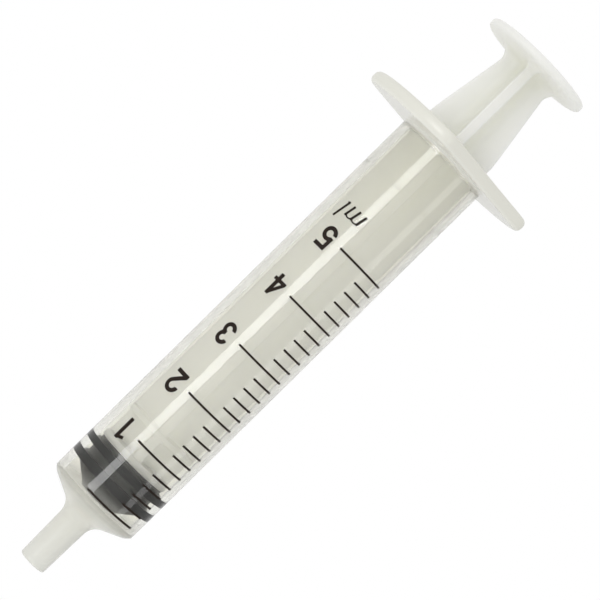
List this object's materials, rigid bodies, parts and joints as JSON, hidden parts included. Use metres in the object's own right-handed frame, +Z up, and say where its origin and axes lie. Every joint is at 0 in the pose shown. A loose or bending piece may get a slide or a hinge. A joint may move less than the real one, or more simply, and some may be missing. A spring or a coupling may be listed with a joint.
{
  "type": "oral syringe",
  "caption": "Oral dosing syringe: clear graduated barrel with a slip tip and finger flange, ribbed rubber stopper and cross-ribbed plunger rod with a round thumb rest.",
  "frame": {"origin": "centre of the tip's mouth", "axes": "+X along the barrel from the tip to the thumb rest, +Z up through a flat of the finger flange, so +Y lies along the flange"},
  "size_m": [0.0947, 0.0288, 0.0184],
  "materials": {
    "barrel_plastic": "clear polypropylene with a slight milky haze",
    "plunger_plastic": "natural milky polypropylene, satin",
    "stopper_rubber": "black rubber, siliconed",
    "scale_ink": "dark brown-black printing ink"
  },
  "bodies": {
    "barrel": {"barrel": "barrel_plastic", "scale_major_lines": "scale_ink", "scale_minor_lines": "scale_ink", "scale_numerals": "scale_ink", "scale_unit_mark": "scale_ink"},
    "stopper": {"stopper": "stopper_rubber"},
    "plunger": {"plunger_rod": "plunger_plastic"}
  },
  "joints": [
    {"name": "plunger_slide", "type": "slide", "parent": "barrel", "child": "stopper", "axis": [1, 0, 0], "range_m": [0, 0.0506]},
    {"name": "plunger_spin", "type": "hinge", "parent": "stopper", "child": "plunger", "pos_m": [0.0189, 0, 0], "axis": [1, 0, 0], "continuous": true}
  ]
}
